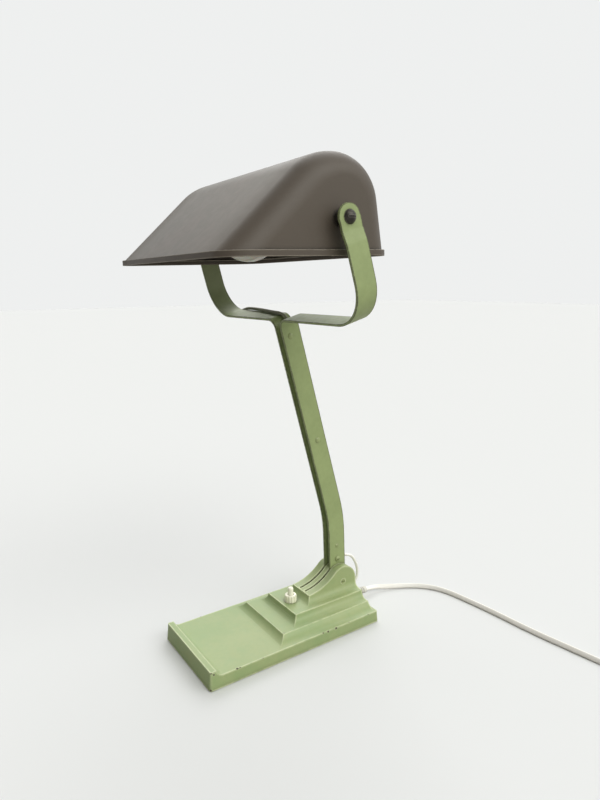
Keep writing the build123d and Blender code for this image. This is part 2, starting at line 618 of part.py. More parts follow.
def bulb_solid(inset):
    """The bulb's envelope turned about its axis, from its neck to its tip."""
    neck_x = cap_low + 27
    neck_r = BULB_NECK_R - inset
    radius = BULB_R - inset

    def on_globe(degrees):
        angle = math.radians(degrees)
        return (BULB_CENTRE_X + radius * math.cos(angle), radius * math.sin(angle))

    shoulder = on_globe(140)
    tip = on_globe(0)
    neck_line = Spline((neck_x, neck_r), shoulder, tangents=[(1, 0.15), (1, 0.95)])
    globe_line = ThreePointArc(shoulder, on_globe(70), tip)
    axis_line = Polyline(tip, (neck_x - 3, 0), (neck_x - 3, neck_r), (neck_x, neck_r))
    return revolve(make_face(neck_line + globe_line + axis_line), Axis.X, 360)


bulb = bulb_solid(0) - bulb_solid(BULB_WALL)
save(SHADE * Pos(0, lamp_y, lamp_z) * bulb, "bulb_glass")

grommet = rod_x(GROMMET_R, -SHADE_WALL_X, wall_x, *GROMMET)
grommet += rod_x(4.4, -SHADE_WALL_X - 0.8, -SHADE_WALL_X, *GROMMET)
grommet += rod_x(4.4, wall_x, wall_x + 0.8, *GROMMET)
save(SHADE * grommet, "shade_grommet")

shade_lead_points = [
    (wall_x + 0.8, *GROMMET),
    (wall_x + 6.0, GROMMET[0] + 0.6, GROMMET[1] + 1.0),
    (wall_x + 9.0, GROMMET[0] - 1.0, GROMMET[1] + 7.0),
    (wall_x + 9.5, GROMMET[0] - 1.5, GROMMET[1] + 14.0),
]
shade_lead, _ = tube(shade_lead_points, LEAD_D, "shade_lead")
save(SHADE * shade_lead, "shade_lead")


# ---- mains lead, laid on the table, with the rest of its length coiled --------------------
cord_r = CORD_D / 2
relief = Pos(0, BASE_LENGTH / 2, CORD_EXIT_Z) * Rot(-90, 0, 0) * Pos(0, 0, 12) * Cone(4.9, 3.5, 24)
relief += rod_y(3.9, 0, 87.5, BASE_LENGTH / 2 + 0.5, CORD_EXIT_Z)
relief += rod_y(4.5, 0, 87.5, 89.0, CORD_EXIT_Z)
relief -= rod_y(cord_r, 0, 60, 90, CORD_EXIT_Z)
save(relief, "cord_strain_relief")

cord_points = [
    (0, RELIEF_END_Y, CORD_EXIT_Z),
    (-0.8, 134.0, 6.0),
    (4.6, 150.0, 3.4),
    (15.6, 173.0, cord_r),
    (31.0, 190.6, cord_r),
    (50.0, 199.4, cord_r),
    (73.0, 202.6, cord_r),
    (108.0, 206.4, cord_r),
    (152.0, 208.2, cord_r),
    (194.0, 213.4, cord_r),
    (232.0, 218.4, cord_r),
    (258.0, 223.2, cord_r),
]
mains_cord, cord_length = tube(cord_points, CORD_D, "mains_cord")
save(mains_cord, "mains_cord")

coil_x, coil_y = COIL_CENTRE
coil_height = CORD_D + (COIL_LAYERS - 1) * COIL_PITCH
coil_inner_r = COIL_OUTER_R - (COIL_TURNS - 1) * COIL_PITCH
coil = rod_z(COIL_OUTER_R + cord_r, coil_x, coil_y, 0, coil_height)
coil -= rod_z(coil_inner_r - cord_r, coil_x, coil_y, -1, 20)
save(coil, "cord_coil")
turn_radii = [coil_inner_r + k * COIL_PITCH for k in range(COIL_TURNS)]
coil_length = COIL_LAYERS * sum(math.tau * r for r in turn_radii) + COIL_TO_TAIL

exit_angle = math.radians(COIL_EXIT_DEG)
tail_x = coil_x + COIL_OUTER_R * math.cos(exit_angle) - COIL_TO_TAIL * math.sin(exit_angle)
tail_y = coil_y + COIL_OUTER_R * math.sin(exit_angle) + COIL_TO_TAIL * math.cos(exit_angle)
tail_points = [
    (tail_x, tail_y, coil_height - cord_r),
    (tail_x - 4.6, tail_y + 22.0, 6.6),
    (tail_x - 12.6, tail_y + 44.0, 4.6),
    (tail_x - 24.6, tail_y + 65.0, 5.8),
    (tail_x - 36.0, tail_y + 83.0, 6.9),
]
cord_tail, tail_length = tube(tail_points, CORD_D, "cord_tail")
save(cord_tail, "cord_tail")
print("cord length", round(cord_length + coil_length + tail_length, 1))


# ---- plug ---------------------------------------------------------------------------------
plug_start = Vector(*tail_points[-1])
heading = plug_start - Vector(*tail_points[-2])
heading = Vector(heading.X, heading.Y, 0).normalized()
plug = Plane(origin=plug_start, x_dir=heading.cross(Vector(0, 0, 1)), z_dir=heading)
plug_body = plug * (Pos(0, 0, 10) * Cone(3.9, 5.4, 20))
plug_body += plug * extrude(Pos(0, 0, 18) * RectangleRounded(27, 13.6, 5.5), 24)
save(plug_body, "plug_body")
plug_pins = Part()
for side in (-1, 1):
    pin = Pos(side * PLUG_PIN_SPACING / 2, 0, 51.5) * Cylinder(PLUG_PIN_R, 19)
    plug_pins += plug * fillet(pin.edges().group_by(Axis.Z)[-1], 1.2)
save(plug_pins, "plug_pins")
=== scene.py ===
import json
import math

import bmesh
import bpy
from mathutils import Matrix, Vector


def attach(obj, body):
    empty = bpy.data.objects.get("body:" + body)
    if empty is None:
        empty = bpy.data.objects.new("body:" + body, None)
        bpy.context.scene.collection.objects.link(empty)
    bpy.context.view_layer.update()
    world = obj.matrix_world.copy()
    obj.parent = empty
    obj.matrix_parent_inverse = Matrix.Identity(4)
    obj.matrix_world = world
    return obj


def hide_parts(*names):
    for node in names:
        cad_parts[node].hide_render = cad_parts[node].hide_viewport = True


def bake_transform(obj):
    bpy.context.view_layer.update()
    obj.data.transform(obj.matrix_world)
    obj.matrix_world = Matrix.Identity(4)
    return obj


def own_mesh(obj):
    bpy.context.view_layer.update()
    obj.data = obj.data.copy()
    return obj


# A banker desk lamp: green enamelled cast base, strip arm with a yoke, dark tilting shade.
# Metres, in the frame of the CAD model: origin at the middle of the base's foot, +Z up.

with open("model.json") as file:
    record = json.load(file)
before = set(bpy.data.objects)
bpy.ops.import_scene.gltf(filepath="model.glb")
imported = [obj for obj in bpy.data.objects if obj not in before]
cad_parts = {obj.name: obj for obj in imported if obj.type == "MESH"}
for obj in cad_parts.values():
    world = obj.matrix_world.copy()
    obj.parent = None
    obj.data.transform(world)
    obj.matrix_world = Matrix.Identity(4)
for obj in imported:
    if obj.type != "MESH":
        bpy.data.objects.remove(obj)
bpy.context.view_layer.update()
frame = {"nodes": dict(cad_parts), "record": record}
MM = 0.001
NODES = frame["nodes"]


# ---- camera ---------------------------------------------------------------------------------
CAMERA_PLACE = (0.4691, -0.2894, 0.3473)
CAMERA_LENS = 26.69
CAMERA_YAW_DEG = 55.5
CAMERA_PITCH_DEG = 11.06
CAMERA_ROLL_DEG = -0.4


def make_camera():
    camera = bpy.data.objects.new("camera", bpy.data.cameras.new("camera"))
    bpy.context.scene.collection.objects.link(camera)
    camera.data.sensor_width = 36.0
    camera.data.lens = CAMERA_LENS
    camera.data.clip_start = 0.01
    camera.data.clip_end = 20.0
    yaw, pitch, roll = (math.radians(a) for a in (CAMERA_YAW_DEG, CAMERA_PITCH_DEG, CAMERA_ROLL_DEG))
    camera.location = CAMERA_PLACE
    turn = Matrix.Rotation(yaw, 3, "Z") @ Matrix.Rotation(math.pi / 2 - pitch, 3, "X")
    turn = turn @ Matrix.Rotation(roll, 3, "Z")
    camera.rotation_euler = turn.to_euler()
    bpy.context.scene.camera = camera


make_camera()


# ---- helpers --------------------------------------------------------------------------------
def add_object(name, data):
    piece = bpy.data.objects.new(name, data)
    bpy.context.scene.collection.objects.link(piece)
    return piece


def nurbs_curve(name, points, tilts=None):
    """A curve of one open NURBS spline whose control points are the route's points."""
    curve = bpy.data.curves.new(name, "CURVE")
    curve.dimensions = "3D"
    spline = curve.splines.new("NURBS")
    spline.points.add(len(points) - 1)
    for i, point in enumerate(points):
        spline.points[i].co = (*point, 1.0)
        if tilts:
            spline.points[i].tilt = tilts[i]
    spline.order_u = 3
    spline.use_endpoint_u = True
    spline.resolution_u = 6
    return curve


# ---- materials ------------------------------------------------------------------------------
def make_node(tree, kind, inputs=None, **settings):
    """A shader node with its settings, and its inputs given as values or as linked sockets."""
    made = tree.nodes.new("ShaderNode" + kind)
    for key, value in settings.items():
        setattr(made, key, value)
    for key, value in (inputs or {}).items():
        if isinstance(value, bpy.types.NodeSocket):
            tree.links.new(value, made.inputs[key])
        else:
            made.inputs[key].default_value = value
    return made


def noise(tree, where, scale, detail=3.0, roughness=0.55, stretch=(1, 1, 1), shift=0.0):
    """A noise value from 0 to 1, its features about 1/scale metres across."""
    placed = make_node(tree, "Mapping", {"Vector": where, "Scale": stretch, "Location": (shift,) * 3})
    made = make_node(tree, "TexNoise", {"Vector": placed.outputs[0], "Scale": scale, "Detail": detail,
                                        "Roughness": roughness})
    return made.outputs[0]


def ramp(tree, value, low, high, to_low=0.0, to_high=1.0):
    """value mapped from low..high to to_low..to_high, clamped, with soft ends."""
    made = make_node(tree, "MapRange", {"Value": value, "From Min": low, "From Max": high,
                                        "To Min": to_low, "To Max": to_high},
                     interpolation_type="SMOOTHSTEP")
    return made.outputs[0]


def calculate(tree, operation, a, b=0.0):
    made = make_node(tree, "Math", {0: a, 1: b}, operation=operation)
    return made.outputs[0]


def mix_colours(tree, share, a, b):
    made = make_node(tree, "Mix", {0: share, 6: a, 7: b}, data_type="RGBA")
    return made.outputs[2]


def occluded(tree, distance, inside):
    """1 where the surface is within the distance of an edge (inside) or of a crevice (outside)."""
    made = make_node(tree, "AmbientOcclusion", {"Distance": distance}, inside=inside, only_local=inside,
                     samples=6)
    return calculate(tree, "SUBTRACT", 1.0, made.outputs["AO"])


SPOT_RAGGED = 0.0036        # how far a spot's outline wanders, in metres
SPOT_ALLOWANCE = 0.0015     # what the wandering takes off a spot's radius on the average
SPOT_NOISE = 620.0


def spots(tree, where, places, grow=1.0):
    """1 inside small ragged spots at the given places, in millimetres, and 0 elsewhere."""
    wander = noise(tree, where, SPOT_NOISE, 3.0, 0.75, (1, 0.5, 1), 1.9)
    ragged = calculate(tree, "MULTIPLY", wander, SPOT_RAGGED)
    total = None
    for x, y, z, radius in places:
        gap = make_node(tree, "VectorMath", {0: where, 1: (x * MM, y * MM, z * MM)}, operation="DISTANCE")
        away = calculate(tree, "ADD", gap.outputs["Value"], ragged)
        reach = radius * MM * grow + SPOT_ALLOWANCE
        inside = ramp(tree, away, reach * 0.92, reach, 1.0, 0.0)
        total = inside if total is None else calculate(tree, "MAXIMUM", total, inside)
    return total


def rgb(r, g, b):
    return (r, g, b, 1.0)


BROAD_SHARE = 0.65          # how much of a colour patch is broad noise, the rest being fine noise
PATCH_EDGES = (0.36, 0.66)  # the noise values between which one patch colour turns into the other
SCRATCH_SCALE = 46.0
SCRATCH_LEVEL = 0.52        # a scratch runs where its noise has this value
SCRATCH_WIDTH = 0.006
MARK_SHARE = 0.7
CHIP_DEPTH = 0.00015
CHIP_ROUGHNESS = 0.62
CHIP_RING = 1.45            # the pale ring round a chip, against the chip's own size
COAT_ROUGHNESS = 0.25


def patchy(tree, broad, fine, colour, second, patch_share):
    blotches = calculate(tree, "ADD", calculate(tree, "MULTIPLY", broad, BROAD_SHARE),
                         calculate(tree, "MULTIPLY", fine, 1 - BROAD_SHARE))
    share = ramp(tree, blotches, *PATCH_EDGES, 0.0, patch_share)
    return mix_colours(tree, share, rgb(*colour), rgb(*second))


# The colour of this band is painted light and shade: on the arm it darkens the far branch's faces that turn
# to +X, as the hood's shade would; on the shade's ends it gives the tone that light and reflection give
# there.
def with_painted_light_zone(tree, where, paint, rough, colour, side, start, end, share, rougher):
    """Another colour and roughness that grow in from start to end, in metres along X.

    They grow both ways when side is 0, or else to that side only, and there on what faces +X.
    """
    across = make_node(tree, "SeparateXYZ", {0: where}).outputs[0]
    across = calculate(tree, "MULTIPLY", across, side) if side else calculate(tree, "ABSOLUTE", across)
    within = ramp(tree, across, start, end, 0.0, share)
    if side:
        normal = make_node(tree, "NewGeometry").outputs["Normal"]
        facing = make_node(tree, "SeparateXYZ", {0: normal}).outputs[0]
        within = calculate(tree, "MULTIPLY", within, ramp(tree, facing, 0.0, 0.6))
    paint = mix_colours(tree, within, paint, rgb(*colour))
    return paint, calculate(tree, "ADD", rough, calculate(tree, "MULTIPLY", within, rougher))


# Darkens the colour near crevices, recesses, contacts and neighbouring parts, found by ambient occlusion:
# grime there, and painted shade where shade falls.
def with_dirt_and_shade(tree, broad, paint, colour, reach, share):
    soiled_and_shaded = calculate(tree, "MULTIPLY", ramp(tree, occluded(tree, reach, False), 0.08, 0.5, 0.0, share),
                       ramp(tree, broad, 0.3, 0.6, 0.55, 1.0))
    return mix_colours(tree, soiled_and_shaded, paint, rgb(*colour))


# Colour along edges, found by ambient occlusion inside the part: pale wear, painted highlights on the base's
# edges and the shade's rim lines, and painted shade as the arm's dark edge lines.
def with_edge_wear_and_light(tree, fine, paint, colour, reach, share):
    edge_wear_and_light = calculate(tree, "MULTIPLY", ramp(tree, occluded(tree, reach, True), 0.01, 0.15, 0.0, share),
                       ramp(tree, fine, 0.3, 0.55, 0.45, 1.0))
    return mix_colours(tree, edge_wear_and_light, paint, rgb(*colour))


def with_scratches(tree, where, broad, paint, colour, share):
    level = noise(tree, where, SCRATCH_SCALE, 3.0, 0.65, (9.0, 1.2, 1.2), 5.3)
    off_line = calculate(tree, "ABSOLUTE", calculate(tree, "SUBTRACT", level, SCRATCH_LEVEL))
    thin = ramp(tree, off_line, 0.0, SCRATCH_WIDTH, 1.0, 0.0)
    scored = calculate(tree, "MULTIPLY", thin, ramp(tree, broad, 0.56, 0.7, 0.0, share))
    return mix_colours(tree, scored, paint, rgb(*colour))


def with_chips(tree, where, paint, rough, bump, colour, places):
    """Bare spots, sunk by the paint's thickness, each with a pale ring of primer."""
    bare = spots(tree, where, places)
    ring = ramp(tree, spots(tree, where, places, CHIP_RING), 0.1, 0.9, 0.0, 0.5)
    paint = mix_colours(tree, ring, paint, rgb(*PALE_WEAR_AND_HIGHLIGHT))
    paint = mix_colours(tree, bare, paint, rgb(*colour))
    rough = calculate(tree, "MAXIMUM", rough, calculate(tree, "MULTIPLY", bare, CHIP_ROUGHNESS))
    sunk = calculate(tree, "SUBTRACT", 1.0, bare)
    bump = make_node(tree, "Bump", {"Height": sunk, "Distance": CHIP_DEPTH, "Strength": 0.8,
                                    "Normal": bump.outputs[0]})
    return paint, rough, bump


def make_material(slot, colour, second, patches=20.0, patch_share=1.0, roughness=0.4, rough_spread=0.12,
                  metallic=0.0, specular=0.5, grain=(900.0, 0.00003), lumps=(140.0, 0.00012),
                  stretch=(1, 1, 1), edge=None, chips=None, dirt_and_shade=None, scratches=None, marks=None,
                  painted_light_zone=None, coat=0.0, sheen=0.0):
    """A worn surface: colour patches, grime and painted shade in crevices, edge lines (pale wear with
    painted highlights on some finishes, painted shade on others), chips, scratches and a fine grain.

    grain and lumps are (scale, height). edge and dirt_and_shade are (colour, reach, share), scratches is
    (colour, share), and chips and marks are (colour, places), each place being x, y, z and a radius
    in millimetres. painted_light_zone is (colour, side, start, end, share, extra roughness), as in
    with_painted_light_zone; its colour is painted light and shade.
    """
    material = bpy.data.materials.new(slot)
    material.use_nodes = True
    tree = material.node_tree
    shader = tree.nodes["Principled BSDF"]
    where = make_node(tree, "TexCoord").outputs["Object"]
    broad = noise(tree, where, patches, 4.0, 0.6)
    fine = noise(tree, where, patches * 9, 3.0, 0.6, stretch, 3.1)
    paint = patchy(tree, broad, fine, colour, second, patch_share)
    rough = ramp(tree, fine, 0.25, 0.75, roughness - rough_spread / 2, roughness + rough_spread / 2)
    lump_height = noise(tree, where, lumps[0], 2.0, 0.5, shift=7.7)
    bump = make_node(tree, "Bump", {"Height": lump_height, "Distance": lumps[1], "Strength": 1.0})
    if painted_light_zone:
        paint, rough = with_painted_light_zone(tree, where, paint, rough, *painted_light_zone)
    if dirt_and_shade:
        paint = with_dirt_and_shade(tree, broad, paint, *dirt_and_shade)
    if edge:
        paint = with_edge_wear_and_light(tree, fine, paint, *edge)
    if scratches:
        paint = with_scratches(tree, where, broad, paint, *scratches)
    if marks:
        marked = calculate(tree, "MULTIPLY", spots(tree, where, marks[1]), MARK_SHARE)
        paint = mix_colours(tree, marked, paint, rgb(*marks[0]))
    if chips:
        paint, rough, bump = with_chips(tree, where, paint, rough, bump, *chips)
    grain_height = noise(tree, where, grain[0], 3.0, 0.6, stretch, 2.2)
    bump = make_node(tree, "Bump", {"Height": grain_height, "Distance": grain[1], "Strength": 1.0,
                                    "Normal": bump.outputs[0]})
    tree.links.new(paint, shader.inputs["Base Color"])
    tree.links.new(rough, shader.inputs["Roughness"])
    tree.links.new(bump.outputs[0], shader.inputs["Normal"])
    shader.inputs["Metallic"].default_value = metallic
    shader.inputs["Specular IOR Level"].default_value = specular
    shader.inputs["Coat Weight"].default_value = coat
    shader.inputs["Coat Roughness"].default_value = COAT_ROUGHNESS
    shader.inputs["Sheen Weight"].default_value = sheen
    return material


# Olive for grime and painted shade in crevices and under parts.
OLIVE_DIRT_AND_SHADE = (0.095, 0.105, 0.050)
# Pale for worn paint and painted highlight along the base's edges, and for the primer round chips.
PALE_WEAR_AND_HIGHLIGHT = (0.60, 0.66, 0.40)
BARE_IRON = (0.070, 0.050, 0.034)

# Where the paint is chipped through: x, y, z and radius, in millimetres.
BASE_CHIPS = [
    (47.6, -92.5, 15.5, 1.3), (46.9, -95.0, 16.9, 1.1), (47.9, -69.5, 12.3, 1.4), (48.0, -66.8, 12.2, 0.9),
    (47.9, -43.0, 12.4, 0.8), (47.9, -39.6, 12.3, 1.0), (47.9, -21.0, 12.4, 0.7), (47.9, 4.2, 12.5, 0.7),
    (48.0, 25.8, 12.1, 1.0), (48.1, 31.7, 11.4, 1.2), (48.1, 41.5, 11.6, 1.6), (47.9, 58.0, 12.3, 0.6),
    (47.9, 83.5, 12.2, 0.9), (48.4, -96.2, 2.0, 1.2), (2.3, -96.0, 17.6, 0.8), (-28.0, -95.8, 17.5, 0.7),
    (34.2, -11.2, 18.6, 0.9), (-24.6, -11.2, 18.7, 0.6), (25.8, 8.2, 26.7, 0.7), (-47.8, -60.0, 12.2, 1.1),
    (-47.9, 12.0, 12.3, 0.9), (-48.2, 70.0, 11.0, 1.3), (20.0, 97.0, 3.0, 1.0), (-31.0, 96.6, 10.0, 0.8),
]
ARM_CHIPS = [
    (5.4, 40.5, 196.0, 0.5), (5.4, 13.0, 300.0, 0.5), (5.4, 66.0, 120.0, 0.6), (96.0, 10.8, 316.5, 0.9),
    (126.5, 8.0, 340.0, 0.6), (-60.0, 6.5, 315.0, 0.7), (-126.4, 3.0, 352.0, 0.7), (-5.4, 55.0, 190.0, 0.7),
]
SHADE_MARKS = [
    (106.5, 2.0, 427.0, 0.9), (108.0, 5.0, 425.0, 0.5), (101.0, -40.0, 398.0, 0.8),
    (60.0, -70.0, 392.0, 0.6), (-20.0, -52.0, 410.0, 0.7), (-80.0, 46.0, 400.0, 1.0),
    (30.0, 48.0, 395.0, 0.8), (-111.0, -10.0, 405.0, 0.9),
]

FINISHES = {
    # Base: the pale edge lines are wear and painted highlight, and the olive in the coves and under the
    # steps is grime and painted shade.
    "base_enamel": dict(
        colour=(0.310, 0.415, 0.186), second=(0.372, 0.445, 0.210), patches=16.0, roughness=0.38,
        lumps=(95.0, 0.00022), edge=(PALE_WEAR_AND_HIGHLIGHT, 0.0015, 0.9), chips=(BARE_IRON, BASE_CHIPS),
        dirt_and_shade=(OLIVE_DIRT_AND_SHADE, 0.006, 0.95)),
    # Arm: the dark edge lines are painted shade, and the band that darkens the far branch's faces turned to
    # +X is painted shade under the hood.
    "arm_enamel": dict(
        colour=(0.345, 0.425, 0.188), second=(0.305, 0.378, 0.165), patches=24.0, roughness=0.40,
        edge=((0.095, 0.100, 0.050), 0.0009, 0.9), chips=(BARE_IRON, ARM_CHIPS),
        dirt_and_shade=(OLIVE_DIRT_AND_SHADE, 0.004, 0.6),
        painted_light_zone=((0.120, 0.125, 0.075), -1.0, 0.030, 0.110, 0.6, 0.1)),
    "rivet_enamel": dict(
        colour=(0.370, 0.440, 0.200), second=(0.270, 0.325, 0.140), patches=160.0, roughness=0.28,
        dirt_and_shade=(OLIVE_DIRT_AND_SHADE, 0.0018, 0.95)),
    # Shade: the pale edge lines are painted highlights on the rim, the band of another tone at both ends is
    # painted light and shade, and the dark in crevices is grime and painted shade; the marks and scratches
    # are wear.
    "shade_enamel": dict(
        colour=(0.086, 0.063, 0.048), second=(0.072, 0.060, 0.045), patches=13.0, roughness=0.40,
        rough_spread=0.03, marks=((0.34, 0.31, 0.26), SHADE_MARKS), grain=(1500.0, 0.000004),
        lumps=(22.0, 0.00008),
        edge=((0.27, 0.24, 0.195), 0.0008, 0.8), scratches=((0.12, 0.10, 0.085), 0.14),
        dirt_and_shade=((0.020, 0.017, 0.013), 0.003, 0.85),
        painted_light_zone=((0.092, 0.074, 0.057), 0, 0.062, 0.098, 1.0, 0.10)),
    "dark_steel": dict(
        colour=(0.030, 0.027, 0.023), second=(0.060, 0.053, 0.044), patches=240.0, roughness=0.36,
        edge=((0.20, 0.19, 0.17), 0.0005, 0.5), metallic=0.35),
    "plain_steel": dict(
        colour=(0.40, 0.39, 0.37), second=(0.27, 0.255, 0.235), patches=40.0, roughness=0.42,
        metallic=0.9, stretch=(0.15, 1, 1), grain=(1400.0, 0.000012), dirt_and_shade=((0.09, 0.07, 0.05), 0.003, 0.6)),
    "screw_steel": dict(
        colour=(0.46, 0.45, 0.43), second=(0.30, 0.29, 0.27), patches=180.0, roughness=0.34, metallic=1.0),
    "spring_steel": dict(
        colour=(0.56, 0.56, 0.55), second=(0.42, 0.42, 0.41), patches=200.0, roughness=0.28, metallic=1.0),
    "felt": dict(
        colour=(0.060, 0.095, 0.050), second=(0.085, 0.120, 0.065), patches=60.0, roughness=0.95,
        grain=(1700.0, 0.0003), lumps=(420.0, 0.0004), specular=0.2, sheen=0.35),
    "bakelite": dict(
        colour=(0.040, 0.020, 0.013), second=(0.060, 0.030, 0.018), patches=70.0, roughness=0.24,
        edge=((0.13, 0.08, 0.055), 0.0006, 0.4), dirt_and_shade=((0.03, 0.025, 0.02), 0.002, 0.5)),
    "cream_plastic": dict(
        colour=(0.97, 0.96, 0.81), second=(0.94, 0.93, 0.76), patches=130.0, roughness=0.26,
        dirt_and_shade=((0.45, 0.40, 0.28), 0.0007, 0.4)),
    "porcelain": dict(
        colour=(0.78, 0.77, 0.72), second=(0.70, 0.68, 0.62), patches=60.0, roughness=0.16, coat=0.3,
        dirt_and_shade=((0.30, 0.26, 0.20), 0.002, 0.4)),
    "fibre": dict(
        colour=(0.17, 0.055, 0.030), second=(0.11, 0.035, 0.022), patches=120.0, roughness=0.6),
    "white_rubber": dict(
        colour=(0.76, 0.75, 0.70), second=(0.68, 0.66, 0.59), patches=90.0, roughness=0.55,
        dirt_and_shade=((0.28, 0.26, 0.21), 0.0015, 0.6)),
    "dark_rubber": dict(
        colour=(0.022, 0.021, 0.020), second=(0.040, 0.037, 0.034), patches=120.0, roughness=0.68),
    "white_flex": dict(
        colour=(0.97, 0.955, 0.92), second=(0.94, 0.92, 0.87), patches=55.0, roughness=0.36,
        grain=(1100.0, 0.00002), lumps=(180.0, 0.00006), dirt_and_shade=((0.55, 0.51, 0.43), 0.0008, 0.4)),
    "painted_flex": dict(
        colour=(0.285, 0.300, 0.210), second=(0.205, 0.215, 0.145), patches=75.0, roughness=0.5,
        lumps=(240.0, 0.00018), edge=((0.42, 0.43, 0.34), 0.0009, 0.3), dirt_and_shade=(OLIVE_DIRT_AND_SHADE, 0.0025, 0.7)),
    "white_plastic": dict(
        colour=(0.82, 0.81, 0.76), second=(0.76, 0.74, 0.67), patches=45.0, roughness=0.30,
        dirt_and_shade=((0.36, 0.33, 0.27), 0.0015, 0.5)),
    "plug_brass": dict(
        colour=(0.62, 0.58, 0.48), second=(0.48, 0.43, 0.32), patches=140.0, roughness=0.26, metallic=1.0),
    "brass": dict(
        colour=(0.58, 0.40, 0.15), second=(0.36, 0.23, 0.08), patches=110.0, roughness=0.33, metallic=1.0,
        dirt_and_shade=((0.10, 0.06, 0.02), 0.0012, 0.6)),
    "cap_metal": dict(
        colour=(0.60, 0.58, 0.54), second=(0.45, 0.43, 0.38), patches=90.0, roughness=0.35, metallic=1.0,
        dirt_and_shade=((0.13, 0.11, 0.08), 0.0015, 0.6)),
    "bulb_opal": dict(
        colour=(0.60, 0.59, 0.55), second=(0.55, 0.54, 0.49), patches=30.0, roughness=0.20, coat=0.15,
        grain=(600.0, 0.000006), lumps=(40.0, 0.00002)),
}
MATERIALS = {slot: make_material(slot, **finish) for slot, finish in FINISHES.items()}
opal = MATERIALS["bulb_opal"].node_tree.nodes["Principled BSDF"].inputs
opal["Subsurface Weight"].default_value = 0.25
opal["Subsurface Scale"].default_value = 0.01


def slot_of(node):
    """The record's material slot of a CAD node."""
    return next(part["material_slot"] for part in frame["record"]["subparts"] if part["node"] == node)


for node_name, node_object in NODES.items():
    for material_slot in node_object.material_slots:
        material_slot.material = MATERIALS[slot_of(node_name)]


# ---- pieces made from the CAD shapes --------------------------------------------------------
def finish_piece(piece, body, slot, *nodes, material=None):
    piece.data.materials.clear()
    piece.data.materials.append(MATERIALS[material or slot])
    if body:
        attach(piece, body)
    if nodes:
        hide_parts(*nodes)
    return piece


WELD_REACH = 2e-6
FLAT_DEG = 0.4              # facets that lean less than this against each other become one face


def softened(node, name, body, width, segments=3, angle_deg=24.0):
    """A copy of a CAD shape whose hard edges are rounded by the given width, as paint rounds them."""
    form = bmesh.new()
    form.from_mesh(NODES[node].data)
    bmesh.ops.remove_doubles(form, verts=form.verts, dist=WELD_REACH)
    bmesh.ops.dissolve_limit(form, angle_limit=math.radians(FLAT_DEG), use_dissolve_boundaries=False,
                             verts=form.verts, edges=form.edges)
    mesh = bpy.data.meshes.new(name)
    form.to_mesh(mesh)
    form.free()
    stale = mesh.attributes.get("custom_normal")
    if stale:
        mesh.attributes.remove(stale)
    for face in mesh.polygons:
        face.use_smooth = True
    piece = add_object(name, mesh)
    rounding = piece.modifiers.new("rounded_edges", "BEVEL")
    rounding.width = width
    rounding.segments = segments
    rounding.limit_method = "ANGLE"
    rounding.angle_limit = math.radians(angle_deg)
    rounding.use_clamp_overlap = True
    rounding.harden_normals = True
    rounding.miter_outer = "MITER_ARC"
    return finish_piece(piece, body, slot_of(node), node)


softened("base_casting", "base_body", "base", 0.0006)
softened("arm_strip_right", "near_strip", "arm", 0.00032, 2)
softened("arm_strip_left", "far_strip", "arm", 0.00032, 2)
softened("shade_shell", "shade_hood", "shade", 0.00035, 2)
softened("switch_collar", "switch_ring", "base", 0.00018, 2)


def make_switch_coil():
    """The switch's spring, which stands on the switch's floor; on the lamp it shortens as the button goes
    down.
    Here it is a plain copy that rides on the base.
    """
    coil = add_object("switch_coil", NODES["switch_spring"].data.copy())
    finish_piece(coil, "base", "spring_steel", "switch_spring")
    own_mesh(coil)


make_switch_coil()


# ---- meshes made of rings -------------------------------------------------------------------
def ring_mesh(name, verts, steps):
    """A closed mesh through rings of points, smooth round its sides and flat at its two ends."""
    faces = []
    for low in range(0, len(verts) - steps, steps):
        for k in range(steps):
            nxt = (k + 1) % steps
            faces.append((low + k, low + nxt, low + steps + nxt, low + steps + k))
    faces.append(tuple(reversed(range(steps))))
    faces.append(tuple(range(len(verts) - steps, len(verts))))
    mesh = bpy.data.meshes.new(name)
    mesh.from_pydata(verts, [], faces)
    form = bmesh.new()
    form.from_mesh(mesh)
    bmesh.ops.recalc_face_normals(form, faces=form.faces)
    form.to_mesh(mesh)
    form.free()
    for face in mesh.polygons:
        face.use_smooth = len(face.vertices) == 4
    return mesh


def lathe(name, profile, origin, axis, turn_steps=72, wave=None):
    """A mesh turned about an axis from (along, radius) pairs; wave(along, angle) adds to the radius."""
    direction = Vector(axis).normalized()
    side = direction.orthogonal().normalized()
    other = direction.cross(side)
    verts = []
    for along, radius in profile:
        for k in range(turn_steps):
            angle = math.tau * k / turn_steps
            r = radius + (wave(along, angle) if wave else 0.0)
            outward = side * math.cos(angle) + other * math.sin(angle)
            verts.append(Vector(origin) + direction * along + outward * r)
    return add_object(name, ring_mesh(name, verts, turn_steps))


# ---- shade fittings -------------------------------------------------------------------------
SHADE_REST_DEG = 1.5
SHADE_TILT = Matrix.Rotation(math.radians(SHADE_REST_DEG), 3, "X")
SHADE_PIVOT = Vector((0.0, -0.006, 0.395))


def in_shade(x, y, z):
    """A point given in millimetres from the shade's pivot, in the shade's own directions."""
    return SHADE_PIVOT + SHADE_TILT @ (Vector((x, y, z)) * MM)


LAMP_Y, LAMP_Z = -8.0, 2.5
LEG_X = -97.5               # the holder bracket's leg
CAP_START_X = LEG_X + 8.2
CAP_LENGTH = 27.0
NECK_R = 12.4
BULB_CENTRE_X = -12.0
BULB_R = 30.0
SHOULDER_DEG = 140          # where the globe meets the neck, counted from the globe's far end
AXIS_R = 0.05               # where a turned profile closes on its axis


def lamp_profile(points):
    return [(x * MM, r * MM) for x, r in points]


